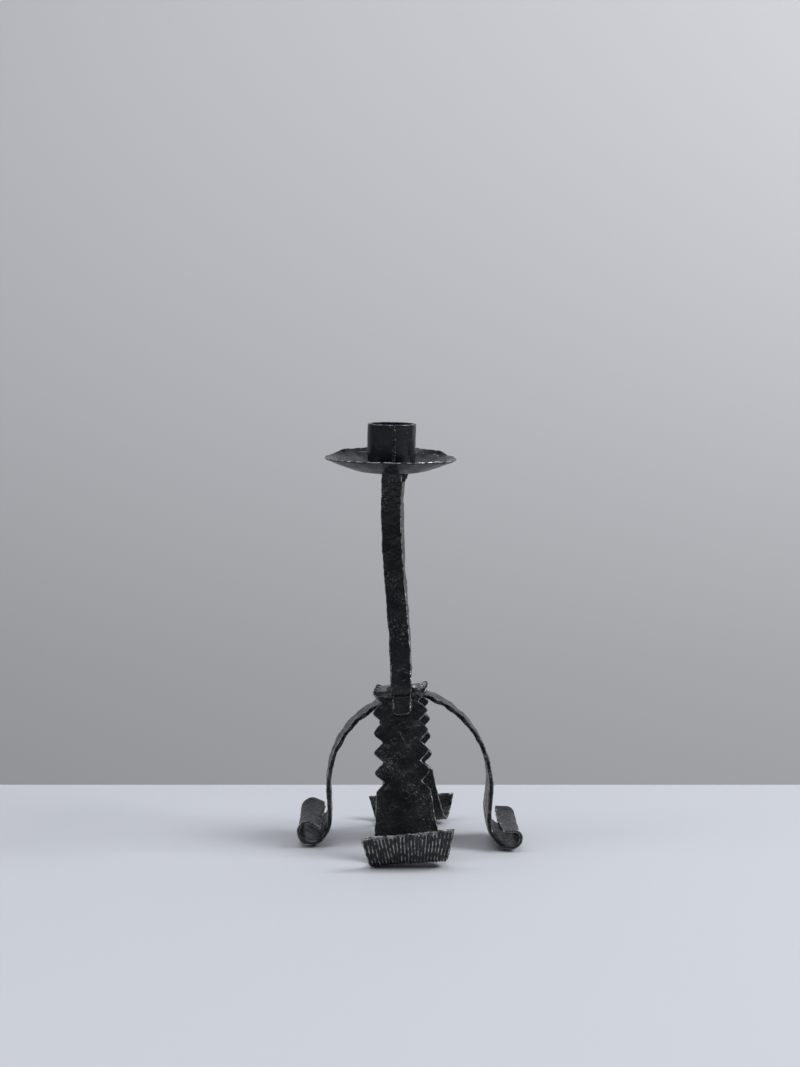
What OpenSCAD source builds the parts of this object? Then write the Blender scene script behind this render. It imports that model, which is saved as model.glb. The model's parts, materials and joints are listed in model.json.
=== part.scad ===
// Wrought iron candle holder: a candle cup and a drip pan on a bent square stem, which stands on
// two scalloped straps that cross at the crown and end in four fanned feet.
// The front faces -Y, and the height runs along +Z. The front-to-back strap lies on the side strap.

/* [Candle cup] */
// Outside diameter of the candle cup
cup_d = 26.6; // [25:0.1:30]
// Height of the candle cup
cup_h = 24.8; // [20:0.2:34]
// Wall of the candle cup
cup_wall = 1.5; // [1:0.1:2.5]
// Where the cup's seam stands, in degrees to the right of the front
seam_turn = 6; // [0:1:40]
// Gap in the cup's seam, which the weld fills
seam_gap = 0.9; // [0.5:0.1:1.5]

/* [Drip pan] */
// Width of the drip pan across its rim
pan_d = 72.4; // [64:0.2:84]
// Depth of the drip pan inside
pan_depth = 7.4; // [6:0.2:11]
// Thickness of the drip pan's sheet
pan_t = 1.5; // [1:0.1:2.2]
// How far the bent lip at the back stands above the rim
lip_rise = 1.9; // [0:0.1:4]
// How far the rim drops at its two sides
side_droop = 0.8; // [0:0.1:3]

/* [Stem] */
// Side of the stem's square bar
bar = 11.4; // [10:0.1:12.4]
// Height of the stem's top, under the pan
stem_top = 206; // [180:0.1:230]
// Forward lean of the stem's top, and of the pan and cup on it
top_lean = 10; // [4:1:14]
// Turn of the bar between its foot and its top, in degrees
bar_twist = 11; // [0:1:20]
// Length of the tongue that laps down the front leg
tongue_l = 8.6; // [6:0.2:14]
// Width of the tongue
tongue_w = 9.5; // [8:0.1:11]
// Thickness of the tongue where it leaves the bar
tongue_t = 1.6; // [1.2:0.1:2.4]

/* [Straps] */
// Thickness of the strap iron
strap_t = 2.3; // [2:0.1:3]
// Width of a strap across the tips of its scallops
strap_w = 29.4; // [27:0.2:32]
// Depth of one scallop
scallop = 4.6; // [2:0.1:6]
// Length of one scallop along the strap
pitch = 10.75; // [10:0.05:12]
// Width of the front foot and the side feet at their free edges
foot_w = 47.5; // [42:0.5:54]
// Width of the back foot at its free edge
back_foot_w = 51.5; // [42:0.5:54]

/* [Stance] */
// Height of the crown, where the stem stands
crown_h = 86.3; // [80:0.1:92]
// Lean of the crown to the left, in degrees
lean = 3.6; // [0:0.2:5]
// Slope of the front leg below its shoulder, in degrees under level
front_slope = 71; // [68:1:76]
// Slope of the back leg below its shoulder, in degrees under level
back_slope = 75.5; // [72:0.5:79]

/* [Hidden] */
$fn = 64;

// Middle of the crown seen from above, which puts the footprint's middle at the origin
crown_x = -3.86;
crown_y = 4.82;

STEEL = [0.16, 0.17, 0.19];
SHEET = [0.13, 0.15, 0.18];
BEAD = [0.42, 0.43, 0.44];

// Legs. A leg is a chain of links, each [length, turn]. A straight has no turn, and a bend's turn
// is in degrees, up when it is positive. A pose on the leg is [out, up, heading].
function run(length) = [length, 0];
function bend(radius, turn) = [radius * abs(turn) * PI / 180, turn];

function after(pose, link, s) =
    let (turn = link[1] * s / link[0], heading = pose[2] + turn)
    abs(turn) < 0.001
        ? [pose[0] + s * cos(heading), pose[1] + s * sin(heading), heading]
        : let (r = s / (turn * PI / 180))
          [pose[0] + r * (sin(heading) - sin(pose[2])),
           pose[1] - r * (cos(heading) - cos(pose[2])),
           heading];

function pose_at(chain, s, pose, i = 0) =
    i == len(chain) - 1 || s <= chain[i][0]
        ? after(pose, chain[i], s)
        : pose_at(chain, s - chain[i][0], after(pose, chain[i], chain[i][0]), i + 1);

function chain_length(chain, i = 0) = i == len(chain) ? 0 : chain[i][0] + chain_length(chain, i + 1);

// Width between the scalloped edges, with a valley in the middle of the crown
leg_scallops = 6.5;
fan_start = leg_scallops * pitch;
edge_sharp = 0.93;
function scalloped(s) =
    strap_w - scallop * (1 + asin(edge_sharp * cos(360 * s / pitch)) / asin(edge_sharp));

// Below the last scallop a leg widens to its foot and thins to its free edge
edge_thin = 0.6;
function fan(s, end) = s < fan_start ? 0 : (s - fan_start) / (end - fan_start);
function width_at(s, end, wide) =
    s < fan_start ? scalloped(s) : strap_w + (wide - strap_w) * pow(fan(s, end), 1.4);
function thickness_at(s, end) = strap_t * (1 - (1 - edge_thin) * pow(fan(s, end), 2));

// Places along a leg: eight to a scallop, then about one a millimetre
function places(end) =
    let (n = ceil((end - fan_start) / 1.15))
    concat(
        [for (s = [0 : pitch / 8 : fan_start - 0.1]) s],
        [for (i = [0 : n]) fan_start + i * (end - fan_start) / n]
    );

// The section of a strap has an outer row of points, and an inner row back. Its places across are
// parts of the width, and a foot that curls up does so away from the second of them.
ACROSS = [-1 / 2, -1 / 6, 1 / 6, 1 / 2];
function curl_up(f) = pow((f - ACROSS[1]) / (ACROSS[3] - ACROSS[1]), 2);
function section(centre, across, normal, ahead, w, t, lift, slant) =
    let (row = [for (f = ACROSS) centre + across * f * w + [0, 0, lift * curl_up(f)] + ahead * slant * f])
    concat(
        [for (p = row) p + normal * t / 2],
        [for (i = [len(row) - 1 : -1 : 0]) row[i] - normal * t / 2]
    );

// One leg's sections. The leg is bent in the plane of out and up, and across is its width at the
// crown. Down the leg the width swings by skew degrees, and by foot_skew in the foot. A foot curls
// up by lift at its far corner, and its free edge is cut askew by slant. Half way down, the leg
// stands to one side by bow.
function leg_sections(
    chain, start, origin, out, up, across, wide, skew = 0, foot_skew = 0, lift = 0, slant = 0, bow = 0
) =
    let (end = chain_length(chain))
    [for (s = places(end))
        let (
            pose = pose_at(chain, s, start),
            swing = skew * min(1, s / 40) + foot_skew * fan(s, end),
            turned = [across[0] * cos(swing) - across[1] * sin(swing),
                      across[0] * sin(swing) + across[1] * cos(swing), across[2]],
            ahead = cos(pose[2]) * out + sin(pose[2]) * up,
            normal = cos(pose[2]) * up - sin(pose[2]) * out
        )
        section(
            origin + pose[0] * out + pose[1] * up + bow * sin(180 * s / end) * across,
            turned, normal, ahead, width_at(s, end, wide), thickness_at(s, end),
            lift * min(1, 2 * fan(s, end)), slant * pow(fan(s, end), 3)
        )];

function backwards(list) = [for (i = [len(list) - 1 : -1 : 1]) list[i]];
function lowest(rings) = min([for (ring = rings) for (p = ring) p[2]]);
function set_down(rings) = let (low = lowest(rings)) [for (ring = rings) [for (p = ring) p - [0, 0, low]]];

// How far a bend of this radius climbs while its heading goes from one angle to the other
function climb(radius, from, to) = radius * (cos(from) - cos(to));

// A closed skin over rings of points. Each ring has two rows, which close its ends like a ladder.
module skin(rings) {
    n = len(rings[0]);
    last = n * (len(rings) - 1);
    sides = [for (i = [0 : n : last - 1], j = [0 : n - 1])
        let (a = i + j, b = i + (j + 1) % n) each [[a, b, b + n], [a, b + n, a + n]]];
    caps = [for (j = [0 : n / 2 - 2])
        let (c = n - 2 - j, d = n - 1 - j) each [
            [j, d, c], [j, c, j + 1],
            [last + j, last + c, last + d], [last + j, last + j + 1, last + c]
        ]];
    polyhedron([for (ring = rings) each ring], concat(sides, caps), convexity = 8);
}

// A weld bead is a round tube along points, with a radius at each
bead_sides = 8;
function bead_ring(p, along, r) =
    let (
        level = cross(along, abs(along[2]) < 0.9 * norm(along) ? [0, 0, 1] : [1, 0, 0]),
        side = level / norm(level),
        over = cross(side, along) / norm(along)
    )
    [for (i = [0 : bead_sides - 1])
        p + r * (cos(360 * i / bead_sides) * side + sin(360 * i / bead_sides) * over)];
module bead(points, radii) {
    last = len(points) - 1;
    skin([for (i = [0 : last])
        bead_ring(points[i], points[min(i + 1, last)] - points[max(i - 1, 0)], radii[i])]);
}

// Front-to-back strap. Each leg has a flat half of the crown, a tight shoulder, a straight, a flare
// and a fan that curls up and away. The whole strap leans, so its feet meet the ground at a corner.
crown_flat = 13.5;
shoulder_r = 5;
flare_r = 40;
curl_r = 8.5;
curl_rise = 62;
contact_w = 40;
front_yaw = 0.7;
back_yaw = 1.8;
crown_mid = crown_h - strap_t / 2;
long_drop = (crown_mid - contact_w / 2 * sin(lean)) / cos(lean) - strap_t / 2;

function long_run(slope, flare) =
    (long_drop - climb(shoulder_r, 0, slope) + climb(flare_r, slope, slope - flare)
        - climb(curl_r, 0, slope - flare)) / sin(slope);
function long_leg(slope, flare, free) = [
    run(crown_flat), bend(shoulder_r, -slope), run(long_run(slope, flare)), bend(flare_r, flare),
    bend(curl_r, slope - flare + curl_rise), run(free)
];

long_up = [-sin(lean), 0, cos(lean)];
long_across = [-cos(lean), 0, -sin(lean)];
front_out = [-sin(front_yaw), -cos(front_yaw), 0];
back_out = [sin(back_yaw), cos(back_yaw), 0];
crown_point = [crown_x, crown_y, crown_mid];
long_rings = concat(
    backwards(leg_sections(long_leg(front_slope, 14, 14), [0, 0, 0], crown_point, front_out, long_up,
        long_across, foot_w, slant = -2.4, bow = 1.4)),
    leg_sections(long_leg(back_slope, 6, 8.8), [0, 0, 0], crown_point, back_out, long_up,
        long_across, back_foot_w, slant = 2)
);
module front_back_strap() color(STEEL) skin(set_down(long_rings));

// Side strap. It is flat under the crown, arches down on both sides, and ends in two rolls.
side_yaw = 4.5;
side_flat = 4.5;
side_mid = crown_mid - strap_t;
side_point = [crown_x + 3.8, crown_y, 0];
side_out = [cos(side_yaw), -sin(side_yaw), 0];
side_up = [0, 0, 1];
side_across = [0, 1, 0];

// The straight between an arch that ends at this height, with this slope, and the roll below it
function roll_run(height, slope, upper_r, lower_r) =
    (height - strap_t / 2 - climb(upper_r, roll_break, slope) - climb(lower_r, 0, roll_break)) / sin(slope);
roll_break = 50;

right_start = [0, side_mid, lean];
right_arch = [run(side_flat), bend(14, -20.6), bend(51, -78)];
right_slope = 95;
right_end = pose_at(right_arch, chain_length(right_arch), right_start);
right_leg = concat(right_arch, [
    run(roll_run(right_end[1], right_slope, 15, 9.5)), bend(15, right_slope - roll_break),
    bend(9.5, roll_break), bend(5.8, 90), bend(4, 90), run(6)
]);

left_start = [0, side_mid, -lean];
left_arch = [run(side_flat), bend(14, -27.4), run(10.6), bend(50.5, -62)];
left_slope = 93;
left_end = pose_at(left_arch, chain_length(left_arch), left_start);
left_leg = concat(left_arch, [
    run(roll_run(left_end[1], left_slope, 15, 9)), bend(15, left_slope - roll_break),
    bend(9, roll_break), bend(6.4, 90), bend(5.6, 115), run(5)
]);

side_rings = concat(
    backwards(leg_sections(left_leg, left_start, side_point, -side_out, side_up, side_across, foot_w,
        skew = 3.2, foot_skew = -2.6, lift = 5.8)),
    leg_sections(right_leg, right_start, side_point, side_out, side_up, side_across, foot_w,
        skew = -0.5, foot_skew = 1.6, lift = 4.7)
);
module side_strap() color(STEEL) skin(set_down(side_rings));

// Beads in the two corners under the crown, where the side strap's edges meet the other strap
module crossing_weld() color(BEAD)
    for (edge = [-1, 1])
        bead(
            [for (i = [0 : 6]) let (x = crown_x - 6 + 2 * i)
                [x, crown_y + edge * (strap_w / 2 - 1), crown_h - 2 * strap_t + (x - crown_x) * tan(lean)]],
            [0.7, 1.5, 1.8, 1.6, 1.9, 1.5, 0.7]
        );

// Stem. A square bar follows a curve through four handles. Its foot stands on the crown, and is
// drawn down to a tongue that laps the shoulder and the top of the front leg.
stem_front = crown_y - 21.3;
stem_y = stem_front + bar / 2;
foot_top = crown_h + 4;
stem_handles = [
    [crown_x + 0.1, stem_y, foot_top],
    [crown_x + 0.1, stem_y + 8.5, foot_top + 38],
    [crown_x - 7.1, stem_y + 14.3, stem_top - 40],
    [crown_x - 3.8, stem_y + 7.3, stem_top]
];
corner = 0.9;
function on_curve(t) =
    pow(1 - t, 3) * stem_handles[0] + 3 * t * pow(1 - t, 2) * stem_handles[1]
        + 3 * t * t * (1 - t) * stem_handles[2] + pow(t, 3) * stem_handles[3];

// The bar's section, as places [across, deep] from its middle, in an order that skin() takes
function bar_section(half, deep) = [
    [half - corner, -deep], [half, corner - deep], [half, deep - corner], [half - corner, deep],
    [corner - half, deep], [-half, deep - corner], [-half, corner - deep], [corner - half, -deep]
];
function bar_ring(t) =
    let (turn = -bar_twist * t, p = on_curve(t))
    [for (q = bar_section(bar / 2, bar / 2))
        let (x = q[0] * cos(turn) - q[1] * sin(turn), y = q[0] * sin(turn) + q[1] * cos(turn))
        p + [x, y, t * t * (y * tan(top_lean) / cos(pan_roll) - x * tan(pan_roll))]];

// The foot's rings run from a point in front to a point behind, both [y, z], and lean as the crown
shoulder_y = crown_y - crown_flat;
shoulder_z = crown_h - strap_t / 2 - shoulder_r;
strap_out = shoulder_r + strap_t / 2;
toe_z = crown_h - 1.8;
toe_angle = acos((toe_z - shoulder_z) / (strap_out + tongue_t));
function over_shoulder(angle, off) =
    [shoulder_y - (strap_out + off) * sin(angle), shoulder_z + (strap_out + off) * cos(angle)];
function down_leg(s, off) =
    over_shoulder(front_slope, off) + s * [-cos(front_slope), -sin(front_slope)];
function foot_ring(front, back, half, x) =
    [for (q = bar_section(half, 1))
        let (
            deep = abs(q[1]) < 1 ? sign(q[1]) * (1 - 2 * corner / norm(front - back)) : q[1],
            p = front + (back - front) * (deep + 1) / 2
        )
        [x + q[0], p[0], p[1] + (x + q[0] - crown_x) * tan(lean)]];

tongue_x = crown_x + 0.6;
foot_rings = [
    foot_ring(
        [stem_front, crown_h + 1], [stem_front + bar, crown_h - 0.1], bar / 2, stem_handles[0][0]),
    for (angle = [4 : (front_slope - 4) / 6 : front_slope])
        let (part = (angle - 4) / (front_slope - 4))
        foot_ring(
            angle < toe_angle
                ? [stem_front, toe_z + 0.02 * (toe_angle - angle)]
                : over_shoulder(angle, tongue_t),
            over_shoulder(angle, -0.1),
            bar / 2 + (tongue_w - bar) / 2 * part,
            stem_handles[0][0] + (tongue_x - stem_handles[0][0]) * part
        ),
    for (part = [0.4, 0.8, 1])
        foot_ring(
            down_leg(part * tongue_l, tongue_t - 0.5 * part), down_leg(part * tongue_l, -0.1),
            tongue_w / 2 - 0.3 * part, tongue_x
        )
];
module stem() color(STEEL) skin(concat([for (i = [30 : -1 : 0]) bar_ring(i / 30)], foot_rings));

// A bead round the left, back and right of the stem's foot, heaviest at the right front
module stem_weld() color(BEAD) {
    left = stem_handles[0][0] - bar / 2;
    right = stem_handles[0][0] + bar / 2;
    back = stem_front + bar;
    bead(
        [
            [left - 0.2, stem_front + 5.5, crown_h - 0.8], [left - 0.3, stem_front + 8, crown_h + 0.1],
            [left + 0.2, back - 0.4, crown_h + 0.4], [left + 2.4, back + 0.4, crown_h + 0.3],
            [right - 2.6, back + 0.4, crown_h + 0.6], [right - 0.2, back - 0.3, crown_h + 0.8],
            [right + 0.5, stem_front + 8.5, crown_h + 0.8], [right + 1.4, stem_front + 6.4, crown_h + 0.7],
            [right + 3.4, stem_front + 6.2, crown_h - 0.1]
        ],
        [0.8, 1.5, 1.6, 1.4, 1.6, 1.5, 1.8, 2.4, 1.1]
    );
}

// A thin bead down both sides of the tongue and across its end
function beside(s, x) =
    let (p = down_leg(s, 0.6)) [tongue_x + x, p[0], p[1] + (tongue_x + x - crown_x) * tan(lean)];
module tongue_weld() color(BEAD) {
    half = tongue_w / 2;
    bead(
        [
            beside(0.5, -half), beside(tongue_l / 2, -half), beside(tongue_l - 0.8, 0.5 - half),
            beside(tongue_l + 0.2, 2 - half), beside(tongue_l + 0.2, 0), beside(tongue_l + 0.2, half - 2),
            beside(tongue_l - 0.8, half - 0.5), beside(tongue_l / 2, half), beside(0.5, half)
        ],
        [0.5, 0.7, 0.6, 0.6, 0.7, 0.6, 0.6, 0.8, 0.5]
    );
}

// The pan and the cup stand square on the stem's leaning top, a little to its left
pan_shift = -2;
cup_shift = 0.4;
pan_roll = 0.9;
module on_top() translate(stem_handles[3] + [pan_shift, 0, 0]) rotate([top_lean, pan_roll, 0]) children();

// A bead round the stem's top, with a run down its right side
module pan_weld() color(BEAD) on_top() {
    half = bar / 2;
    bead(
        [
            [-pan_shift + half - 1.5, -half - 0.2, -5.6], [-pan_shift + half + 0.3, -half + 1, -3.4],
            [-pan_shift + half + 0.4, -half + 1.8, -1.2], [-pan_shift + half + 0.6, 1, -0.5],
            [-pan_shift + half - 0.4, half + 0.4, -0.5], [-pan_shift - half + 1.5, half + 0.2, -0.5],
            [-pan_shift - half - 0.3, half - 1.5, -0.5], [-pan_shift - half - 0.5, -half + 2, -0.5]
        ],
        [0.7, 1.1, 1.7, 1.4, 1.4, 1.3, 1.3, 0.8]
    );
}

// Drip pan: a flat floor for the cup and the stem, a dished wall, and a lip bent up at the back
pan_flat = 15.6;
pan_rings = 8;
pan_sides = 48;
lip_middle = 90;
lip_half = 50;
lip_fade = 14;
function lip_part(a) = min(1, max(0, 1 - (abs(a - lip_middle) - lip_half) / lip_fade));
function pan_height(r, a) =
    let (f = max(0, (r - pan_flat) / (pan_d / 2 - pan_flat)))
    pan_depth * pow(f, 1.35) - side_droop * pow(cos(a), 2) * pow(f, 3)
        + lip_rise * lip_part(a) * pow(f, 6);
module drip_pan() color(SHEET) on_top() {
    n = pan_sides;
    m = n * (pan_rings + 1);
    upper = [for (i = [0 : pan_rings], k = [0 : n - 1])
        let (r = pan_flat + (pan_d / 2 - pan_flat) * i / pan_rings, a = 360 * k / n)
        [r * cos(a), r * sin(a), pan_t + pan_height(r, a)]];
    points = concat(upper, [for (p = upper) p - [0, 0, pan_t]], [[0, 0, pan_t], [0, 0, 0]]);
    top = 2 * m;
    wall = [for (i = [0 : pan_rings - 1], k = [0 : n - 1])
        let (a = i * n + k, b = i * n + (k + 1) % n) each [[a, b + n, a + n], [a, b, b + n]]];
    rim = [for (k = [0 : n - 1])
        let (a = m - n + k, b = m - n + (k + 1) % n) each [[a, b + m, a + m], [a, b, b + m]]];
    floors = [for (k = [0 : n - 1])
        let (a = k, b = (k + 1) % n) each [[top, b, a], [top + 1, a + m, b + m]]];
    polyhedron(
        points, concat(wall, [for (f = wall) [f[0] + m, f[2] + m, f[1] + m]], rim, floors), convexity = 6);
}

// Candle cup: sheet rolled to a tube, with an open seam that the weld fills
module candle_cup() color(SHEET) on_top() translate([cup_shift, 0, pan_t]) difference() {
    cylinder(d = cup_d, h = cup_h);
    translate([0, 0, -1]) cylinder(d = cup_d - 2 * cup_wall, h = cup_h + 2);
    rotate(seam_turn - 90) translate([0, -seam_gap / 2, -1]) cube([cup_d, seam_gap, cup_h + 2]);
}
module cup_seam_weld() color(BEAD) on_top() translate([cup_shift, 0, 0]) rotate(seam_turn - 90)
    bead(
        [for (i = [0 : 8]) [cup_d / 2 - 0.3, 0, pan_t + 0.6 + (cup_h - 1.4) * i / 8]],
        [0.7, 1, 0.9, 1.05, 0.9, 1, 0.95, 1, 0.7]
    );
module cup_base_weld() color(BEAD) on_top() translate([cup_shift, 0, pan_t])
    rotate_extrude() polygon([[cup_d / 2, 0], [cup_d / 2 + 1.8, 0], [cup_d / 2, 1.8]]);

candle_cup();
cup_seam_weld();
cup_base_weld();
drip_pan();
pan_weld();
stem();
stem_weld();
tongue_weld();
front_back_strap();
side_strap();
crossing_weld();
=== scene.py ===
"""Wrought iron candle holder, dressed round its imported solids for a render.

Lengths are in millimetres until a mesh is made. The front faces -Y and the height runs along +Z.
Each piece is a closed skin over rings of points, worked out with numpy from the part's own sizes.
"""
from __future__ import annotations

import json
import logging
from dataclasses import dataclass, field
from enum import Enum

import bpy
import numpy as np
from mathutils import Matrix, Vector

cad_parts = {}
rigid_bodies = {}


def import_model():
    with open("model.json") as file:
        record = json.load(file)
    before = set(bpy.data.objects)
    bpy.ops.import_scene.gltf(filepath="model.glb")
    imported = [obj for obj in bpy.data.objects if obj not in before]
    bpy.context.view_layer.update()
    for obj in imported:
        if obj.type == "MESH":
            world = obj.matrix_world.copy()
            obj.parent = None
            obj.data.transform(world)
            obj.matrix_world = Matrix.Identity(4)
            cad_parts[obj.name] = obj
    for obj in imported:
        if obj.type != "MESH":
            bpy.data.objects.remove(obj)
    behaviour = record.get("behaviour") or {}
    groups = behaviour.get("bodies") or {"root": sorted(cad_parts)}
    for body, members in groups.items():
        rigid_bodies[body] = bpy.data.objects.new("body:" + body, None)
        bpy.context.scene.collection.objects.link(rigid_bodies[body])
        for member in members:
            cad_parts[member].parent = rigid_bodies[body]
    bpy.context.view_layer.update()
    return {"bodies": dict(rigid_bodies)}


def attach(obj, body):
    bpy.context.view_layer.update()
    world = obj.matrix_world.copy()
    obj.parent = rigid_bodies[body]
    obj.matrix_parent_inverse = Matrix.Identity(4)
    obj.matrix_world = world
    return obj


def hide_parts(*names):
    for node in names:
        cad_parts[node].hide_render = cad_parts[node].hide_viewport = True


LOG = logging.getLogger("candle_holder")
MM = 0.001
PHOTO_HEIGHT = 1067


class Slot(Enum):
    """Material slots of the record."""

    IRON = "black_iron"
    SHEET = "black_sheet"
    WELD = "weld_metal"


@dataclass(frozen=True)
class Link:
    """One link of a bent leg: its length, and its turn in degrees, up when positive."""

    length: float
    turn: float = 0.0


def run(length: float) -> Link:
    """A straight link."""
    return Link(length)


def bend(radius: float, turn: float) -> Link:
    """A link bent to a radius through a turn in degrees."""
    return Link(radius * abs(np.radians(turn)), turn)


def climb(radius: float, start: float, end: float) -> float:
    """How far a bend climbs while its heading goes from start to end, in degrees."""
    return radius * (np.cos(np.radians(start)) - np.cos(np.radians(end)))


def along_link(pose: np.ndarray, link: Link, s: np.ndarray) -> np.ndarray:
    """Poses on one link: a straight line, or an arc whose heading grows evenly.

    Args:
        pose: The [out, up, heading] where the link starts, with the heading in degrees.
        link: The link.
        s: Distances from its start.

    Returns:
        One [out, up, heading] for each distance.
    """
    start = np.radians(pose[2])
    if link.turn == 0:
        return np.stack([pose[0] + s * np.cos(start), pose[1] + s * np.sin(start),
                         np.full_like(s, pose[2])], 1)
    heading = start + np.radians(link.turn) * s / link.length
    radius = link.length / np.radians(link.turn)
    return np.stack([pose[0] + radius * (np.sin(heading) - np.sin(start)),
                     pose[1] - radius * (np.cos(heading) - np.cos(start)),
                     np.degrees(heading)], 1)


def trace(chain: list[Link], s: np.ndarray, start: np.ndarray) -> np.ndarray:
    """Poses along a chain of links, each link starting where the one before ends.

    Args:
        chain: The links in order.
        s: Distances along the whole chain.
        start: The first [out, up, heading].

    Returns:
        One [out, up, heading] for each distance.
    """
    poses = np.empty((s.size, 3))
    pose = np.asarray(start, float)
    begun = 0.0
    for link in chain:
        here = s >= begun - 1e-9
        poses[here] = along_link(pose, link, s[here] - begun)
        pose = along_link(pose, link, np.array([link.length]))[0]
        begun += link.length
    return poses


@dataclass(frozen=True)
class Waves:
    """A smooth random field: a sum of sine waves of about one length in random directions."""

    length: float
    seed: int
    count: int = 16

    def at(self, points: np.ndarray) -> np.ndarray:
        """The field at points, mostly between -1 and 1."""
        rng = np.random.default_rng(self.seed)
        ways = rng.normal(size=(self.count, 3))
        ways /= np.linalg.norm(ways, axis=1, keepdims=True)
        ways *= 2 * np.pi / (self.length * rng.uniform(0.7, 1.4, (self.count, 1)))
        phases = rng.uniform(0, 2 * np.pi, self.count)
        return np.sin(points @ ways.T + phases).sum(-1) / np.sqrt(self.count)


def smooth(x: np.ndarray, low: float, high: float) -> np.ndarray:
    """A step that rises from 0 at low to 1 at high as 3u^2 - 2u^3."""
    u = np.clip((x - low) / (high - low), 0, 1)
    return u * u * (3 - 2 * u)


def rounded_ring(across: int, deep: int, arc: int) -> np.ndarray:
    """Unit places round a rectangle with round corners.

    Args:
        across: Points along each long side.
        deep: Points along each short side.
        arc: Points on each corner.

    Returns:
        Rows of [core across, core deep, arc across, arc deep]. A point is core times the half size
        less the corner's radius, plus arc times that radius.
    """
    line = np.linspace(-1, 1, across)[1:-1]
    short = np.linspace(1, -1, deep)[1:-1]
    turn = np.linspace(0, np.pi / 2, arc)
    rows = []
    for k, (ca, cb) in enumerate([(1, 1), (1, -1), (-1, -1), (-1, 1)]):
        angle = np.pi / 2 - k * np.pi / 2 - turn
        rows.append(np.stack([np.full(arc, ca), np.full(arc, cb), np.cos(angle), np.sin(angle)], 1))
        if k % 2 == 0:
            side = np.stack([np.full(short.size, ca), cb * short, np.full(short.size, ca),
                             np.zeros(short.size)], 1)
        else:
            side = np.stack([-ca * line, np.full(line.size, cb), np.zeros(line.size),
                             np.full(line.size, cb)], 1)
        rows.append(side)
    return np.concatenate(rows)


def ring_normals(rings: np.ndarray) -> np.ndarray:
    """Outward unit normals of a grid of rings: the cross product of its two directions."""
    along = np.gradient(rings, axis=0)
    around = np.roll(rings, -1, 1) - np.roll(rings, 1, 1)
    normals = np.cross(around, along)
    normals /= np.maximum(np.linalg.norm(normals, axis=2, keepdims=True), 1e-9)
    centre = rings.mean(1, keepdims=True)
    sign = np.sign(((rings - centre) * normals).sum(2).mean())
    return normals * sign


def swollen(rings: np.ndarray, push: np.ndarray) -> np.ndarray:
    """The rings moved out along their normals by push, in millimetres."""
    return rings + ring_normals(rings) * push[..., None]


def skin(name: str, rings: np.ndarray, wear: np.ndarray) -> bpy.types.Object:
    """A closed mesh over rings of points, with a fan of triangles closing each end.

    Args:
        name: The piece's name.
        rings: Points in millimetres, ring by ring.
        wear: How worn each point is, from 0 to 1, kept as the attribute the finishes read.

    Returns:
        wear: How worn each point is, from 0 to 1, with some painted highlights added in, kept as the
            attribute the finishes read.
    """
    rows, n = rings.shape[:2]
    grid = np.arange(rows * n).reshape(rows, n)
    a, b = grid[:-1], np.roll(grid, -1, 1)[:-1]
    c, d = np.roll(grid, -1, 1)[1:], grid[1:]
    quads = np.stack([a, b, c, d], 2).reshape(-1, 4)
    first, last = rows * n, rows * n + 1
    fans = np.concatenate([
        np.stack([np.full(n, first), np.roll(grid[0], -1), grid[0]], 1),
        np.stack([np.full(n, last), grid[-1], np.roll(grid[-1], -1)], 1)])
    points = np.concatenate([rings.reshape(-1, 3), rings[:1].mean(1), rings[-1:].mean(1)]) * MM
    tris = np.concatenate([quads[:, [0, 1, 2]], quads[:, [0, 2, 3]], fans])
    p, q, r = points[tris[:, 0]], points[tris[:, 1]], points[tris[:, 2]]
    if (p * np.cross(q, r)).sum() < 0:
        quads, fans = quads[:, ::-1], fans[:, ::-1]
    mesh = bpy.data.meshes.new(name)
    mesh.from_pydata(points, [], quads.tolist() + fans.tolist())
    mesh.attributes.new("wear", "FLOAT", "POINT").data.foreach_set(
        "value", np.append(wear.ravel(), [wear[0].mean(), wear[-1].mean()]).astype(np.float32))
    mesh.shade_smooth()
    piece = bpy.data.objects.new(name, mesh)
    bpy.context.collection.objects.link(piece)
    return piece


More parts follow.
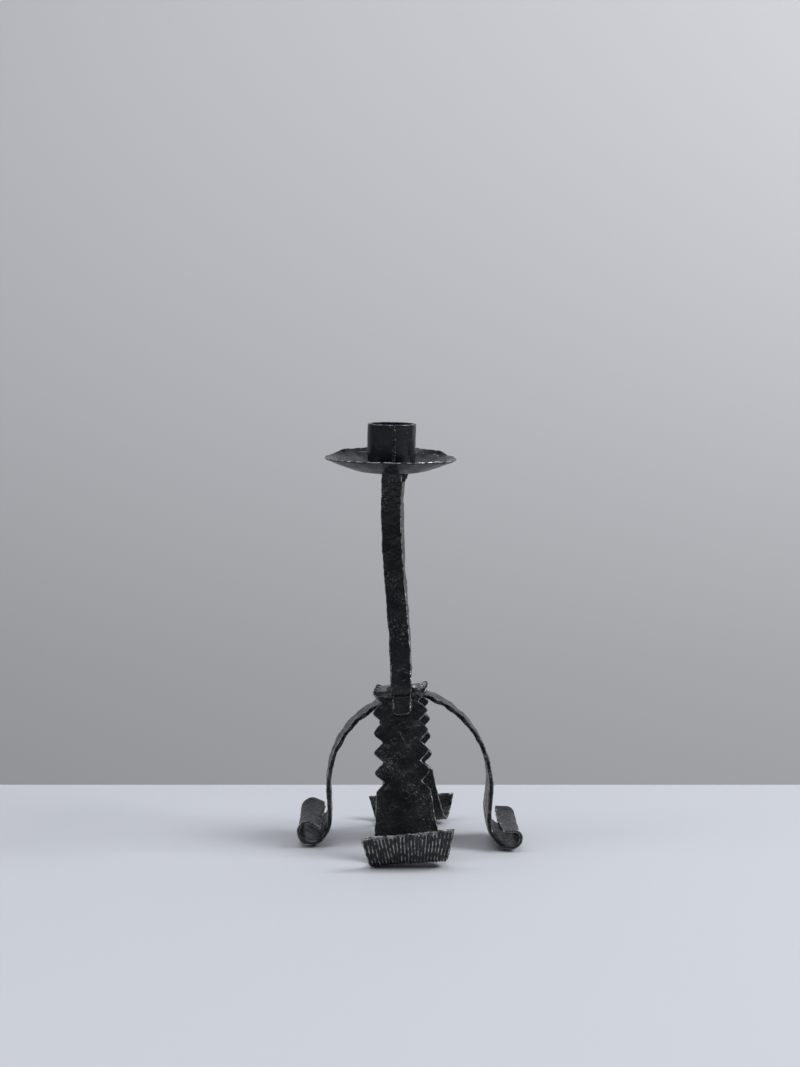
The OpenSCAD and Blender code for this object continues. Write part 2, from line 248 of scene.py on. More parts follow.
@dataclass(frozen=True)
class Finish:
    """Black paint over metal: mottled, pitted, rubbed through to bright metal where worn, and flecked with
    tiny bright specks that are painted glints.
    """

    name: str
    dark: tuple[float, float, float]
    light: tuple[float, float, float]
    rough_low: float
    rough_high: float
    grain: float
    depth: float
    wear_low: float
    wear_high: float
    flecks: float
    bright: tuple[float, float, float] = (0.42, 0.42, 0.41)

    def material(self) -> bpy.types.Material:
        """Builds the finish's nodes on Object coordinates and the wear attribute."""
        material = bpy.data.materials.new(self.name)
        material.use_nodes = True
        tree = material.node_tree
        shader = tree.nodes["Principled BSDF"]
        place = tree.nodes.new("ShaderNodeTexCoord").outputs["Object"]

        def noise(scale: float, detail: float) -> bpy.types.NodeSocket:
            """Noise of this scale on the piece's own coordinates."""
            node = tree.nodes.new("ShaderNodeTexNoise")
            node.inputs["Scale"].default_value = scale
            node.inputs["Detail"].default_value = detail
            tree.links.new(place, node.inputs["Vector"])
            return node.outputs["Fac"]

        def spread(value: bpy.types.NodeSocket, span: tuple[float, float],
                   to: tuple[float, float]) -> bpy.types.NodeSocket:
            """A value's span stretched to another span, and cut off at its ends."""
            node = tree.nodes.new("ShaderNodeMapRange")
            for key, number in zip(("From Min", "From Max", "To Min", "To Max"), span + to):
                node.inputs[key].default_value = number
            tree.links.new(value, node.inputs["Value"])
            return node.outputs["Result"]

        def maths(operation: str, a: bpy.types.NodeSocket,
                  b: bpy.types.NodeSocket | float) -> bpy.types.NodeSocket:
            """Two values joined by an operation."""
            node = tree.nodes.new("ShaderNodeMath")
            node.operation = operation
            tree.links.new(a, node.inputs[0])
            if isinstance(b, float):
                node.inputs[1].default_value = b
            else:
                tree.links.new(b, node.inputs[1])
            return node.outputs[0]

        def mixed(factor: bpy.types.NodeSocket, a: tuple | bpy.types.NodeSocket,
                  b: tuple) -> bpy.types.NodeSocket:
            """A colour between two."""
            node = tree.nodes.new("ShaderNodeMix")
            node.data_type = "RGBA"
            tree.links.new(factor, node.inputs["Factor"])
            if isinstance(a, tuple):
                node.inputs[6].default_value = (*a, 1)
            else:
                tree.links.new(a, node.inputs[6])
            node.inputs[7].default_value = (*b, 1)
            return node.outputs[2]

        worn = tree.nodes.new("ShaderNodeAttribute")
        worn.attribute_name = "wear"
        patchy = maths("MULTIPLY", worn.outputs["Fac"], spread(noise(330, 3), (0.36, 0.62), (0.25, 1.35)))
        rubbed = spread(patchy, (self.wear_low, self.wear_high), (0, 1))
        # Patches of tiny bright specks are painted glints, laid in with the worn bright metal.
        patches = spread(noise(40, 2), (0.54, 0.68), (0, 1))
        flecks = maths("MULTIPLY", spread(noise(1300, 2), (0.58, 0.74), (0, self.flecks)), patches)
        bare_and_glints = maths("MAXIMUM", rubbed, flecks)
        paint = mixed(spread(noise(75, 5), (0.4, 0.62), (0, 1)), self.dark, self.light)
        tree.links.new(mixed(bare_and_glints, paint, self.bright), shader.inputs["Base Color"])
        shader.inputs["Specular IOR Level"].default_value = 0.35
        gloss = spread(noise(140, 4), (0.35, 0.65), (self.rough_low, self.rough_high))
        tree.links.new(gloss, shader.inputs["Roughness"])
        tree.links.new(maths("MULTIPLY", bare_and_glints, 0.75), shader.inputs["Metallic"])
        pits = tree.nodes.new("ShaderNodeTexVoronoi")
        pits.inputs["Scale"].default_value = self.grain * 0.55
        tree.links.new(place, pits.inputs["Vector"])
        height = maths("ADD", noise(self.grain, 4), maths("MULTIPLY", pits.outputs["Distance"], 0.55))
        bump = tree.nodes.new("ShaderNodeBump")
        bump.inputs["Strength"].default_value = 0.65
        bump.inputs["Distance"].default_value = self.depth * MM
        tree.links.new(height, bump.inputs["Height"])
        tree.links.new(bump.outputs["Normal"], shader.inputs["Normal"])
        return material


@dataclass
class Leg:
    """One leg of a strap: its bends, how its width lies, and how its foot is shaped."""

    chain: list[Link]
    start: tuple[float, float, float]
    origin: np.ndarray
    out: np.ndarray
    up: np.ndarray
    across: np.ndarray
    foot_w: float
    skew: float = 0.0
    foot_skew: float = 0.0
    lift: float = 0.0
    slant: float = 0.0
    bow: float = 0.0
    rib: float = 0.0
    rough: float = 0.05
    perk: float = 0.0
    rub: tuple[float, float] | None = None


@dataclass
class Strap:
    """Scalloped strap iron with a leg at each end: sizes shared by both straps."""

    thick: float = 2.3
    width: float = 29.4
    scallop: float = 4.6
    pitch: float = 10.75
    leg_scallops: float = 6.5
    edge_sharp: float = 0.86
    edge_thin: float = 0.6
    corner: float = 0.55
    step: float = 0.45
    hammer: float = 0.16
    ring: np.ndarray = field(default_factory=lambda: rounded_ring(44, 4, 4))

    def leg_rings(self, leg: Leg, seed: int) -> tuple[np.ndarray, np.ndarray]:
        """Rings down one leg.

        The width is the strap's less the scallops, and then a fan that widens as the 1.4th power. A
        scallop is mostly a triangle wave with round corners, the arcsine of a cosine, with some of a
        folded sine to keep the notches sharp. Ribs are folded sines across the fan's outer face.

        Args:
            leg: The leg.
            seed: Seed of its hammer marks.

        Returns:
            The rings and the wear on them, with painted highlights on the rib crests.
        """
        end = sum(link.length for link in leg.chain)
        fan_start = self.leg_scallops * self.pitch
        s = np.linspace(0, end, int(end / self.step))
        pose = trace(leg.chain, s, np.array(leg.start))
        fan = np.clip((s - fan_start) / (end - fan_start), 0, None)
        wave = np.arcsin(self.edge_sharp * np.cos(2 * np.pi * s / self.pitch)) / np.arcsin(self.edge_sharp)
        tooth = 0.35 * np.abs(np.sin(np.pi * s / self.pitch)) + 0.65 * (1 - wave) / 2
        scalloped = self.width - 2 * self.scallop * (1 - tooth)
        fanned = self.width + (leg.foot_w - self.width) * fan ** 1.4
        half_w = np.where(s < fan_start, scalloped, fanned) / 2
        half_t = self.thick * (1 - (1 - self.edge_thin) * fan ** 2) / 2
        heading = np.radians(pose[:, 2])[:, None]
        ahead = np.cos(heading) * leg.out + np.sin(heading) * leg.up
        normal = np.cos(heading) * leg.up - np.sin(heading) * leg.out
        swing = np.radians(leg.skew * np.minimum(1, s / 40) + leg.foot_skew * fan)
        x, y, z = leg.across
        across = np.stack([x * np.cos(swing) - y * np.sin(swing),
                           x * np.sin(swing) + y * np.cos(swing), np.full_like(swing, z)], 1)
        radius = np.minimum(self.corner, half_t * 0.8)[:, None]
        core_a, core_b, arc_a, arc_b = self.ring.T
        a = core_a * (half_w[:, None] - radius) + arc_a * radius
        b = core_b * (half_t[:, None] - radius) + arc_b * radius
        f = a / (2 * half_w[:, None])
        lift = leg.lift * np.minimum(1, 2 * fan)[:, None] * ((f + 1 / 6) * 1.5) ** 2
        ragged = 0.45 * Waves(5, seed).at(np.stack([a, 0 * a, 0 * a], 2))
        slide = leg.slant * f * fan[:, None] ** 3 + ragged * fan[:, None] ** 6
        middle = (leg.origin + pose[:, :1] * leg.out + pose[:, 1:2] * leg.up
                  + leg.bow * np.sin(np.pi * s / end)[:, None] * leg.across)
        rings = (middle[:, None] + across[:, None] * a[..., None] + normal[:, None] * b[..., None]
                 + ahead[:, None] * slide[..., None])
        near_tip = smooth(np.abs(a), self.width / 2 - 3.5, self.width / 2)
        perked = leg.perk * near_tip * (1 - smooth(s, 16, 24))[:, None]
        rings[..., 2] += lift + perked
        outer = np.clip(-core_b, 0, 1) * (np.abs(arc_b) > 0.5)
        wander = 0.4 * Waves(13, seed + 1).at(rings)
        crest = np.abs(np.cos(np.pi * 25 * f + wander)) ** 1.6
        ribbed = smooth(fan, 0.42, 0.6)[:, None] * outer
        dents = self.hammer * (Waves(7, 13).at(rings) + 0.5 * Waves(2.6, 14).at(rings))
        dents *= 1 - 0.6 * smooth(fan, 0.05, 0.3)[:, None]
        rough = leg.rough * smooth(fan, 0.1, 0.4)[:, None] * Waves(1.5, seed + 4).at(rings)
        rings = swollen(rings, dents + rough + leg.rib * (crest - 0.6) * ribbed)
        edge = (np.abs(arc_a) > 0.15) & (np.abs(arc_b) > 0.15)
        # Edges are worn; the rib crests are painted bright too, worn metal that also stands in for the
        # highlights along the ribs.
        wear = 0.62 * edge + np.zeros_like(a) + leg.rib * 1.7 * ribbed * crest ** 3
        wear = np.maximum(wear, 0.75 * smooth(s, end - 1.6, end - 0.2)[:, None])
        if leg.rub:
            x, z = rings[..., 0] - leg.rub[0], rings[..., 2] - leg.rub[1]
            strokes = Waves(2, seed + 5).at(np.stack([2.4 * x + 1.5 * z, 0.35 * z, 0 * x], 2))
            wear = np.maximum(wear, np.exp(-(x * x + z * z) / 22) * smooth(strokes, 0.5, 1.2))
        return rings, np.clip(wear, 0, 1)

    def piece(self, name: str, first: Leg, second: Leg) -> bpy.types.Object:
        """Both legs as one skin, set down so that its lowest point is on the floor."""
        back, back_wear = self.leg_rings(first, 11)
        front, front_wear = self.leg_rings(second, 37)
        back, back_wear = back[::-1], back_wear[::-1]
        rings = np.concatenate([back[:-1], front])
        rings[..., 2] -= rings[..., 2].min()
        return skin(name, rings, np.concatenate([back_wear[:-1], front_wear]))


@dataclass
class Base:
    """The two crossed straps and the beads that join them."""

    crown: np.ndarray = field(default_factory=lambda: np.array([-3.86, 4.82, 86.3]))
    lean: float = 3.6
    strap: Strap = field(default_factory=Strap)
    foot_w: float = 47.5
    back_foot_w: float = 51.5

    def long_leg(self, slope: float, flare: float, free: float) -> list[Link]:
        """Bends of the front or back leg: shoulder, straight, flare, and a curl at the foot."""
        drop = (self.crown[2] - self.strap.thick / 2 - 20 * np.sin(np.radians(self.lean))) \
            / np.cos(np.radians(self.lean)) - self.strap.thick / 2
        straight = (drop - climb(5, 0, slope) + climb(40, slope, slope - flare)
                    - climb(8.5, 0, slope - flare)) / np.sin(np.radians(slope))
        return [run(13.5), bend(5, -slope), run(straight), bend(40, flare),
                bend(8.5, slope - flare + 62), run(free)]

    def front_back(self) -> bpy.types.Object:
        """The upper strap, whose front and back legs end in fans that curl up and away."""
        lean = np.radians(self.lean)
        up = np.array([-np.sin(lean), 0, np.cos(lean)])
        across = np.array([-np.cos(lean), 0, -np.sin(lean)])
        middle = self.crown - np.array([0, 0, self.strap.thick / 2])
        front_yaw, back_yaw = np.radians(0.7), np.radians(1.8)
        front = Leg(self.long_leg(71, 14, 14), (0, 0, 0), middle,
                    np.array([-np.sin(front_yaw), -np.cos(front_yaw), 0]), up, across,
                    self.foot_w, slant=-2.4, bow=1.4, rib=0.5, rough=0.14, perk=1.1,
                    rub=(-4.4, 61))
        back = Leg(self.long_leg(75.5, 6, 8.8), (0, 0, 0), middle,
                   np.array([np.sin(back_yaw), np.cos(back_yaw), 0]), up, across,
                   self.back_foot_w, slant=2, rib=0.3, rough=0.1, perk=1.1)
        fine = Strap(step=0.78, ring=rounded_ring(124, 4, 4))
        return fine.piece("front_to_back_strap", front, back)

    def roll_leg(self, arch: list[Link], start: tuple, slope: float, lower: float,
                 roll: list[Link]) -> list[Link]:
        """An arch with a straight and two bends below it that reach the floor, and then its roll."""
        end = trace(arch, np.array([sum(link.length for link in arch)]), np.array(start))[0]
        straight = (end[1] - self.strap.thick / 2 - climb(15, 50, slope) - climb(lower, 0, 50)) \
            / np.sin(np.radians(slope))
        return arch + [run(straight), bend(15, slope - 50), bend(lower, 50)] + roll

    def side(self) -> bpy.types.Object:
        """The lower strap, which arches down on both sides and ends in two rolls."""
        middle = self.crown[2] - 1.5 * self.strap.thick
        origin = np.array([self.crown[0] + 3.8, self.crown[1], 0])
        yaw = np.radians(4.5)
        out = np.array([np.cos(yaw), -np.sin(yaw), 0])
        up, across = np.array([0.0, 0, 1]), np.array([0.0, 1, 0])
        right_start, left_start = (0, middle, self.lean), (0, middle, -self.lean)
        right = self.roll_leg([run(4.5), bend(14, -20.6), bend(51, -78)], right_start, 95, 9.5,
                              [bend(5.8, 90), bend(4, 90), run(6)])
        left = self.roll_leg([run(4.5), bend(14, -27.4), run(10.6), bend(50.5, -62)], left_start, 93, 9,
                             [bend(6.4, 90), bend(5.6, 115), run(5)])
        return self.strap.piece(
            "side_strap",
            Leg(left, left_start, origin, -out, up, across, self.foot_w, 3.2, -2.6, 5.8, rib=0.16),
            Leg(right, right_start, origin, out, up, across, self.foot_w, -0.5, 1.6, 4.7, rib=0.2))


def bead_rings(points: np.ndarray, radii: np.ndarray, seed: int) -> tuple[np.ndarray, np.ndarray]:
    """A weld bead: a lumpy round tube along a smooth curve through points, with ripples along it.

    Args:
        points: Places the bead passes through.
        radii: Its radius at each.
        seed: Seed of its lumps.

    Returns:
        The rings and their wear.
    """
    knots = np.append(0, np.cumsum(np.linalg.norm(np.diff(points, axis=0), axis=1)))
    s = np.linspace(0, knots[-1], max(24, int(knots[-1] / 0.28)))
    slopes = np.gradient(points, knots, axis=0)
    i = np.clip(np.searchsorted(knots, s, side="right") - 1, 0, len(points) - 2)
    h = (knots[i + 1] - knots[i])[:, None]
    u = ((s - knots[i]) / h[:, 0])[:, None]
    path = ((2 * u ** 3 - 3 * u ** 2 + 1) * points[i] + (u ** 3 - 2 * u ** 2 + u) * h * slopes[i]
            + (3 * u ** 2 - 2 * u ** 3) * points[i + 1] + (u ** 3 - u ** 2) * h * slopes[i + 1])
    along = np.gradient(path, s, axis=0)
    along /= np.linalg.norm(along, axis=1, keepdims=True)
    level = np.cross(along, np.where(np.abs(along[:, 2:]) < 0.9, [[0, 0, 1.0]], [[1.0, 0, 0]]))
    side = level / np.linalg.norm(level, axis=1, keepdims=True)
    over = np.cross(side, along)
    round_end = np.sqrt(np.clip(1 - np.abs(2 * s / s[-1] - 1) ** 12, 0.02, 1))
    r = np.interp(s, knots, radii) * round_end * (1 + 0.1 * np.sin(2 * np.pi * s / 1.5))
    turn = np.linspace(0, 2 * np.pi, 20, endpoint=False)
    rings = path[:, None] + r[:, None, None] * (np.cos(turn)[:, None] * side[:, None]
                                                + np.sin(turn)[:, None] * over[:, None])
    rings = swollen(rings, 0.14 * Waves(1.6, seed).at(rings) + 0.07 * Waves(0.7, seed + 1).at(rings))
    return rings, np.clip(0.45 + 0.3 * Waves(2.2, seed + 2).at(rings), 0, 1)


@dataclass
class Stem:
    """The square bar, its foot and tongue, and the beads round its foot."""

    base: Base
    bar: float = 11.4
    top: float = 206.0
    top_lean: float = 10.0
    pan_roll: float = 0.9
    twist: float = 11.0
    tongue_l: float = 8.6
    tongue_w: float = 9.5
    tongue_t: float = 1.6
    corner: float = 0.8

    def __post_init__(self) -> None:
        """Works out the bar's handles and the shoulder that the foot lies on."""
        x, y, z = self.base.crown
        self.front = y - 21.3
        mid = self.front + self.bar / 2
        self.handles = np.array([[x + 0.1, mid, z + 4], [x + 0.1, mid + 8.5, z + 42],
                                 [x - 7.1, mid + 14.3, self.top - 40], [x - 3.8, mid + 7.3, self.top]])
        self.tongue_x = x + 0.6
        self.shoulder_y = y - 13.5
        self.shoulder_z = z - self.base.strap.thick / 2 - 5
        self.strap_out = 5 + self.base.strap.thick / 2

    def over_shoulder(self, angle: np.ndarray, off: float) -> np.ndarray:
        """Points [y, z] off the strap's outside, round its shoulder by an angle in degrees."""
        turn = np.radians(angle)
        reach = self.strap_out + off
        return np.stack([self.shoulder_y - reach * np.sin(turn), self.shoulder_z + reach * np.cos(turn)], -1)

    def down_leg(self, s: float, off: float) -> np.ndarray:
        """A point [y, z] off the front leg, s below its shoulder."""
        slope = np.radians(71)
        return self.over_shoulder(np.array(71.0), off) - s * np.array([np.cos(slope), np.sin(slope)])

    def foot_stations(self) -> np.ndarray:
        """Rows [front y, z, back y, z, half width, x] down the foot and the tongue."""
        z, half = self.base.crown[2], self.bar / 2
        rows = [[self.front, z + 1, self.front + self.bar, z - 0.1, half, self.handles[0][0]]]
        toe_z = z - 1.8
        toe = np.degrees(np.arccos((toe_z - self.shoulder_z) / (self.strap_out + self.tongue_t)))
        for angle in np.linspace(4, 71, 13):
            part = (angle - 4) / 67
            front = self.over_shoulder(np.array(max(angle, toe)), self.tongue_t)
            if angle < toe:
                front = np.array([self.front, toe_z + 0.02 * (toe - angle)])
            rows.append([*front, *self.over_shoulder(np.array(angle), -0.1),
                         half + (self.tongue_w / 2 - half) * part,
                         self.handles[0][0] + (self.tongue_x - self.handles[0][0]) * part])
        for part in (0.4, 0.8, 1):
            rows.append([*self.down_leg(part * self.tongue_l, self.tongue_t - 0.5 * part),
                         *self.down_leg(part * self.tongue_l, -0.1), self.tongue_w / 2 - 0.3 * part,
                         self.tongue_x])
        return np.array(rows)

    def foot_rings(self, ring: np.ndarray) -> np.ndarray:
        """Rings down the foot, each between a line in front and a line behind."""
        rows = self.foot_stations()
        places = np.linspace(0, len(rows) - 1, 110)
        rows = np.stack([np.interp(places, np.arange(len(rows)), column) for column in rows.T], 1)
        core_a, core_b, arc_a, arc_b = ring.T
        half = rows[:, 4:5]
        deep = np.linalg.norm(rows[:, :2] - rows[:, 2:4], axis=1)[:, None] / 2
        radius = np.minimum(self.corner, deep * 0.6)
        a = core_a * (half - radius) + arc_a * radius
        b = (core_b * (deep - radius) + arc_b * radius) / deep
        yz = rows[:, None, :2] + (rows[:, None, 2:4] - rows[:, None, :2]) * (b[..., None] + 1) / 2
        x = rows[:, 5:6] + a
        lean = np.tan(np.radians(self.base.lean))
        return np.stack([x, yz[..., 0], yz[..., 1] + (x - self.base.crown[0]) * lean], 2)

    def bar_rings(self, ring: np.ndarray) -> np.ndarray:
        """Rings down the bar: a cubic through four handles, with the section turning as it climbs."""
        t = np.linspace(1, 0, 300)[:, None]
        h = self.handles
        path = (1 - t) ** 3 * h[0] + 3 * t * (1 - t) ** 2 * h[1] + 3 * t * t * (1 - t) * h[2] + t ** 3 * h[3]
        core_a, core_b, arc_a, arc_b = ring.T
        half = self.bar / 2 - self.corner
        a = core_a * half + arc_a * self.corner
        b = core_b * half + arc_b * self.corner
        turn = np.radians(-self.twist * t)
        x = a * np.cos(turn) - b * np.sin(turn)
        y = a * np.sin(turn) + b * np.cos(turn)
        tilt = y * np.tan(np.radians(self.top_lean)) - x * np.tan(np.radians(self.pan_roll))
        return path[:, None] + np.stack([x, y, t * t * tilt], 2)

    def piece(self) -> bpy.types.Object:
        """The whole stem, hammered, with its arrises worn and the right ones painted brighter as a highlight.
        """
        ring = rounded_ring(14, 14, 5)
        rings = np.concatenate([self.bar_rings(ring), self.foot_rings(ring)])
        push = 0.17 * Waves(11, 71).at(rings) + 0.09 * Waves(3.2, 72).at(rings)
        pitted = np.exp(-((rings[..., 2] - 97) / 4.5) ** 2)
        push += 0.22 * pitted * Waves(2.1, 73).at(rings)
        push *= smooth(np.abs(rings[..., 2] - self.top), 0.6, 4)
        edge = (np.abs(ring[:, 2]) > 0.3) & (np.abs(ring[:, 3]) > 0.3)
        # Right-side arrises are painted brighter than the rest: a painted highlight from the light on the
        # right, over the wear.
        right = 0.2 * smooth(ring[:, 0] + ring[:, 2], 0.2, 1.8)
        wear = edge * (0.44 + right) + 0.26 * pitted
        tongue = smooth(-rings[..., 2], -84, -78)
        return skin("stem", swollen(rings, push), np.clip(wear + 0.35 * edge * tongue + 0.12 * tongue, 0, 1))

    def foot_bead(self) -> bpy.types.Object:
        """The bead round the foot's left, back and right, heaviest at the right front, where it is painted
        bright as a highlight.
        """
        z = self.base.crown[2]
        left, right = self.handles[0][0] - self.bar / 2, self.handles[0][0] + self.bar / 2
        back, front = self.front + self.bar, self.front
        points = np.array([
            [left - 0.2, front + 5.5, z - 0.8], [left - 0.3, front + 8, z + 0.1],
            [left + 0.2, back - 0.4, z + 0.4], [left + 2.4, back + 0.4, z + 0.3],
            [right - 2.6, back + 0.4, z + 0.6], [right - 0.2, back - 0.3, z + 0.8],
            [right + 0.5, front + 8.5, z + 0.8], [right + 1.4, front + 6.4, z + 0.7],
            [right + 3.4, front + 6.2, z - 0.1]])
        rings, wear = bead_rings(points, np.array([0.8, 1.5, 1.6, 1.4, 1.6, 1.5, 1.8, 2.4, 1.1]), 81)
        # The bead's right end is painted bright: weld metal worn bright that also stands in for a highlight
        # from the light on the right.
        wear = np.clip(wear + 0.5 * smooth(rings[..., 0], right - 1, right + 1), 0, 1)
        return skin("stem_foot_weld", rings, wear)

    def tongue_bead(self) -> bpy.types.Object:
        """The thin bead down both sides of the tongue and across its end."""
        half, long = self.tongue_w / 2, self.tongue_l
        lean = np.tan(np.radians(self.base.lean))
        places = [(0.5, -half), (long / 2, -half), (long - 0.8, 0.5 - half), (long + 0.2, 2 - half),
                  (long + 0.2, 0), (long + 0.2, half - 2), (long - 0.8, half - 0.5), (long / 2, half),
                  (0.5, half)]
        points = np.array([[self.tongue_x + x, *(self.down_leg(s, 0.6)
                           + [0, (self.tongue_x + x - self.base.crown[0]) * lean])] for s, x in places])
        rings, wear = bead_rings(points, np.array([0.5, 0.7, 0.6, 0.6, 0.7, 0.6, 0.6, 0.8, 0.5]), 84)
        return skin("tongue_weld_bead", rings, wear)


@dataclass
class Top:
    """The drip pan and the candle cup on the stem's leaning top, and their welds."""

    stem: Stem
    pan_d: float = 72.4
    pan_depth: float = 7.4
    pan_t: float = 1.5
    pan_flat: float = 15.6
    lip_rise: float = 1.9
    side_droop: float = 0.8
    pan_shift: float = -2.0
    cup_shift: float = 0.4
    cup_d: float = 26.6
    cup_h: float = 24.8
    cup_wall: float = 1.5
    seam_turn: float = 6.0
    seam_gap: float = 0.9

    def on_top(self, points: np.ndarray) -> np.ndarray:
        """Points of the pan's own frame, leaned and rolled as the stem's top and carried there."""
        turn = (Matrix.Rotation(np.radians(self.stem.pan_roll), 3, "Y")
                @ Matrix.Rotation(np.radians(self.stem.top_lean), 3, "X"))
        return points @ np.array(turn).T + self.stem.handles[3] + [self.pan_shift, 0, 0]

    def height(self, r: np.ndarray, angle: np.ndarray) -> np.ndarray:
        """Rise of the pan: the 1.35th power of the way out, less its droop, plus the lip."""
        f = np.clip((r - self.pan_flat) / (self.pan_d / 2 - self.pan_flat), 0, None)
        lip = np.clip(1 - (np.abs(np.degrees(angle) % 360 - 90) - 50) / 14, 0, 1)
        return (self.pan_depth * f ** 1.35 - self.side_droop * np.cos(angle) ** 2 * f ** 3
                + self.lip_rise * lip * f ** 6)

    def pan(self) -> bpy.types.Object:
        """The dished pan: its upper face out to a worn rim, and its lower face back, with a painted highlight
        along the back lip's bend.
        """
        angle = np.linspace(0, 2 * np.pi, 240, endpoint=False)[None]
        rim = self.pan_d / 2
        out = np.concatenate([[0.4], np.linspace(2, rim - 0.5, 64)])
        edge = np.linspace(np.pi / 2, -np.pi / 2, 9)[1:-1]
        r = np.concatenate([out, rim - 0.5 + 0.5 * np.cos(edge), out[::-1]])[:, None]
        side = np.concatenate([np.ones(out.size), np.sin(edge), -np.ones(out.size)])[:, None]
        thin = self.pan_t / 2 * (1 - 0.3 * smooth(r, rim - 9, rim - 0.5))
        uneven = 1 + 0.0025 * smooth(r, 20, rim) * Waves(17, 91).at(
            np.stack([rim * np.cos(angle), rim * np.sin(angle), 0 * angle], 2))
        r = r * uneven
        z = self.pan_t / 2 + self.height(r, angle) + side * thin
        points = np.stack([r * np.cos(angle), r * np.sin(angle), z], 2)
        dents = 0.13 * Waves(8, 92).at(points) + 0.05 * Waves(2.8, 93).at(points)
        points[..., 2] += dents * smooth(r, self.pan_flat, self.pan_flat + 5)
        lip = np.clip(1 - (np.abs(np.degrees(angle) - 90) - 50) / 14, 0, 1)
        # Painted highlight: a bright line along the bend where the back lip turns up.
        crease_highlight = np.exp(-((r - rim + 3.2) / 0.5) ** 2) * (side > 0.5) * lip
        worn_rim = smooth(r, rim - 0.6, rim - 0.3) * (side > -0.3)
        spots = 0.5 * (Waves(2, 94).at(points) > 1.25) * (side > 0.5)
        return skin("drip_pan", self.on_top(points), np.clip(0.95 * worn_rim + 0.6 * crease_highlight + spots, 0, 1))

    def cup(self) -> bpy.types.Object:
        """The rolled cup: a rounded strip of wall and height carried round to its open seam."""
        ring = rounded_ring(4, 44, 4)
        middle = (self.cup_d - self.cup_wall) / 2
        gap = self.seam_gap / 2 / middle
        angle = np.radians(self.seam_turn - 90) + np.linspace(gap, 2 * np.pi - gap, 220)[:, None]
        radius = 0.45
        core_a, core_b, arc_a, arc_b = ring.T
        a = core_a * (self.cup_wall / 2 - radius) + arc_a * radius
        b = core_b * (self.cup_h / 2 - radius) + arc_b * radius
        r = middle + a
        points = np.stack([r * np.cos(angle), r * np.sin(angle),
                           self.pan_t + self.cup_h / 2 + b + 0 * angle], 2)
        out = np.stack([np.cos(angle), np.sin(angle), 0 * angle], 2)
        points += out * (0.07 * Waves(9, 101).at(points))[..., None]
        points[..., 0] += self.cup_shift
        wear = 0.5 * ((core_b > 0) & (arc_b > 0.3)) + 0 * angle
        flecks = 0.55 * (Waves(1.8, 102).at(points) > 1.35)
        return skin("candle_cup", self.on_top(points), np.clip(wear + flecks, 0, 1))

    def seam_bead(self) -> bpy.types.Object:
        """The bead that fills the cup's seam."""
        turn = np.radians(self.seam_turn - 90)
        r = self.cup_d / 2 - 0.3
        z = self.pan_t + 0.6 + (self.cup_h - 1.4) * np.linspace(0, 1, 9)
        points = np.stack([self.cup_shift + r * np.cos(turn) + 0 * z, r * np.sin(turn) + 0 * z, z], 1)
        radii = np.array([0.7, 1, 0.9, 1.05, 0.9, 1, 0.95, 1, 0.7])
        rings, wear = bead_rings(self.on_top(points), radii, 111)
        return skin("cup_seam_bead", rings, 0.6 * wear)

    def base_bead(self) -> bpy.types.Object:
        """The fillet of weld round the cup's foot: a rounded triangle turned round the cup."""
        angle = np.linspace(0, 2 * np.pi, 240, endpoint=False)[None]
        lump = 1 + 0.22 * Waves(3, 121).at(np.stack([14 * np.cos(angle), 14 * np.sin(angle), 0 * angle], 2))
        u = np.linspace(0, 1, 12)[:, None]
        swell = 1.8 * lump * (1 + 0.25 * np.sin(np.pi * u))
        r = self.cup_d / 2 + swell * u
        z = self.pan_t + swell * (1 - u)
        inner_r = np.full((2, angle.size), self.cup_d / 2 - 0.2)
        inner_z = self.pan_t + np.array([[-0.1], [1.0]]) * np.ones(angle.size)
        r = np.concatenate([r * np.ones(angle.size), inner_r])
        z = np.concatenate([z, inner_z])
        points = np.stack([self.cup_shift + r * np.cos(angle), r * np.sin(angle), z], 2)
        rings = self.on_top(points).transpose(1, 0, 2)
        rings = np.concatenate([rings, rings[:1]])
        return skin("cup_foot_weld", rings, 0.4 + 0 * rings[..., 0])

    def under_bead(self) -> bpy.types.Object:
        """The bead round the stem's top under the pan, with a run down the right side."""
        half, x = self.stem.bar / 2, -self.pan_shift
        points = np.array([
            [x + half - 1.5, -half - 0.2, -5.6], [x + half + 0.3, -half + 1, -3.4],
            [x + half + 0.4, -half + 1.8, -1.2], [x + half + 0.6, 1, -0.5],
            [x + half - 0.4, half + 0.4, -0.5], [x - half + 1.5, half + 0.2, -0.5],
            [x - half - 0.3, half - 1.5, -0.5],
            [x - half - 0.5, -half + 2, -0.5]])
        rings, wear = bead_rings(self.on_top(points), np.array([0.7, 1.1, 1.7, 1.4, 1.4, 1.3, 1.3, 0.8]), 131)
        return skin("pan_weld_bead", rings, 0.4 * wear)


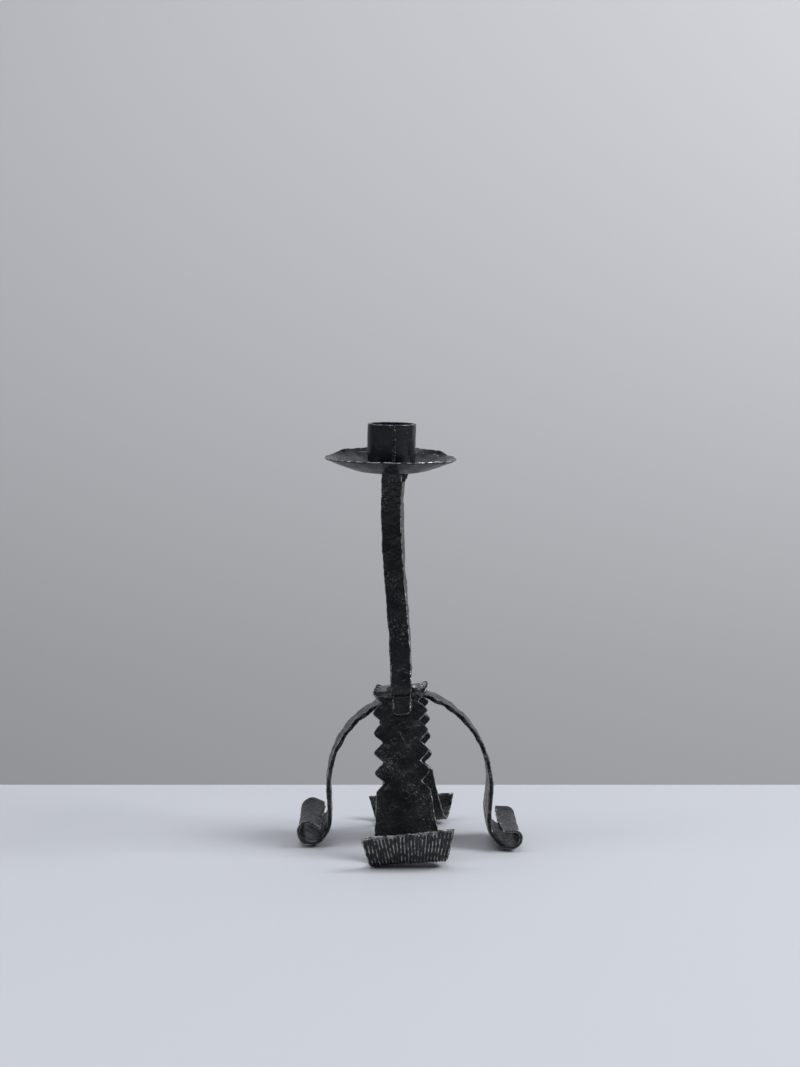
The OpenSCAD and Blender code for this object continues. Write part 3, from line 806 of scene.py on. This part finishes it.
@dataclass
class Studio:
    """The camera at the photograph's place, the pale floor and backdrop, and soft light."""

    eye: tuple[float, float, float] = (-4.36, -676.2, 161.0)
    focal_px: float = 1221.0
    horizon_px: float = 553.0
    floor_back: float = 172.0

    def camera(self) -> None:
        """A level camera, with a small shift that puts the horizon where the photograph has it."""
        data = bpy.data.cameras.new("camera")
        data.sensor_width = 36
        data.lens = 36 * self.focal_px / PHOTO_HEIGHT
        data.shift_y = (self.horizon_px - PHOTO_HEIGHT / 2) / PHOTO_HEIGHT
        data.clip_start = 0.01
        camera = bpy.data.objects.new("camera", data)
        camera.location = Vector(self.eye) * MM
        camera.rotation_euler = (np.pi / 2, 0, 0)
        bpy.context.collection.objects.link(camera)
        bpy.context.scene.camera = camera

    def plane(self, name: str, corners: list[tuple], colour: tuple[float, float, float]) -> None:
        """A plain flat face of the stage, in metres."""
        mesh = bpy.data.meshes.new(name)
        mesh.from_pydata(corners, [], [(0, 1, 2, 3)])
        material = bpy.data.materials.new(name)
        material.use_nodes = True
        shader = material.node_tree.nodes["Principled BSDF"]
        shader.inputs["Base Color"].default_value = (*colour, 1)
        shader.inputs["Roughness"].default_value = 0.75
        mesh.materials.append(material)
        plane = bpy.data.objects.new(name, mesh)
        bpy.context.collection.objects.link(plane)

    def lamp(self, name: str, place: tuple, size: float, watts: float) -> None:
        """A square soft lamp that looks at the middle of the object."""
        data = bpy.data.lights.new(name, "AREA")
        data.size = size
        data.energy = watts
        lamp = bpy.data.objects.new(name, data)
        lamp.location = place
        lamp.rotation_euler = (Vector((0, 0, 0.12)) - Vector(place)).to_track_quat("-Z", "Y").to_euler()
        bpy.context.collection.objects.link(lamp)

    def build(self) -> None:
        """Makes the whole stage."""
        self.camera()
        back = self.floor_back * MM
        self.plane("floor", [(-4, -4, 0), (4, -4, 0), (4, back, 0), (-4, back, 0)], (0.57, 0.59, 0.64))
        self.plane("backdrop", [(-3, back + 0.9, -1), (3, back + 0.9, -1), (3, back + 0.9, 3),
                                (-3, back + 0.9, 3)], (0.62, 0.63, 0.66))
        self.lamp("window", (1.8, -0.4, 1.6), 1.2, 46)
        self.lamp("fill", (-1.3, -0.3, 0.8), 0.6, 4)
        self.lamp("wall_wash", (-0.3, -0.4, 1.7), 1.4, 12)
        world = bpy.data.worlds.new("room")
        world.use_nodes = True
        sky = world.node_tree.nodes["Background"]
        sky.inputs["Color"].default_value = (0.92, 0.95, 1, 1)
        sky.inputs["Strength"].default_value = 0.13
        bpy.context.scene.world = world
        bpy.context.scene.view_settings.view_transform = "Standard"


IRON = Finish("hammered_black_iron", (0.004, 0.005, 0.006), (0.012, 0.014, 0.015), 0.16, 0.36, 900, 0.40,
              0.34, 0.95, 0.8)
SHEET = Finish("smooth_black_sheet", (0.003, 0.004, 0.007), (0.008, 0.010, 0.014), 0.16, 0.34, 1300, 0.14,
               0.4, 1.0, 0.45)
WELD = Finish("blackened_weld", (0.008, 0.008, 0.009), (0.03, 0.03, 0.03), 0.2, 0.4, 1100, 0.3, 0.5, 1.1,
              0.6, (0.6, 0.6, 0.59))


def dress(piece: bpy.types.Object, node: str, body: str, material: bpy.types.Material) -> None:
    """Gives a piece its finish and its body, and lets it stand for its node."""
    piece.data.materials.append(material)
    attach(piece, body)
    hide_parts(node)
    LOG.info("%s stands for %s with %d faces", piece.name, node, len(piece.data.polygons))


def crossing_beads(base: Base) -> bpy.types.Object:
    """The beads in the two corners under the crown, joined as one piece."""
    x0, y0, z0 = base.crown
    lean = np.tan(np.radians(base.lean))
    radii = np.array([0.7, 1.5, 1.8, 1.6, 1.9, 1.5, 0.7])
    beads = []
    for edge in (-1, 1):
        x = x0 - 6 + 2 * np.arange(7)
        y = np.full(7, y0 + edge * (base.strap.width / 2 - 1))
        points = np.stack([x, y, z0 - 2 * base.strap.thick + (x - x0) * lean], 1)
        beads.append(skin("crossing_weld_beads", *bead_rings(points, radii, 141 + 3 * edge)))
    with bpy.context.temp_override(active_object=beads[0], selected_editable_objects=beads):
        bpy.ops.object.join()
    return beads[0]


def main() -> None:
    """Builds the stage and every piece in order."""
    logging.basicConfig(level=logging.INFO)
    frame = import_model()
    body = next(iter(frame["bodies"]))
    Studio().build()
    base = Base()
    stem = Stem(base)
    top = Top(stem)
    iron, sheet, weld = IRON.material(), SHEET.material(), WELD.material()
    dress(base.front_back(), "front_back_strap", body, iron)
    dress(base.side(), "side_strap", body, iron)
    dress(crossing_beads(base), "crossing_weld", body, weld)
    dress(stem.piece(), "stem", body, iron)
    dress(stem.foot_bead(), "stem_weld", body, weld)
    dress(stem.tongue_bead(), "tongue_weld", body, weld)
    dress(top.pan(), "drip_pan", body, sheet)
    dress(top.cup(), "candle_cup", body, sheet)
    dress(top.seam_bead(), "cup_seam_weld", body, weld)
    dress(top.base_bead(), "cup_base_weld", body, weld)
    dress(top.under_bead(), "pan_weld", body, weld)


if __name__ == "__main__":
    main()
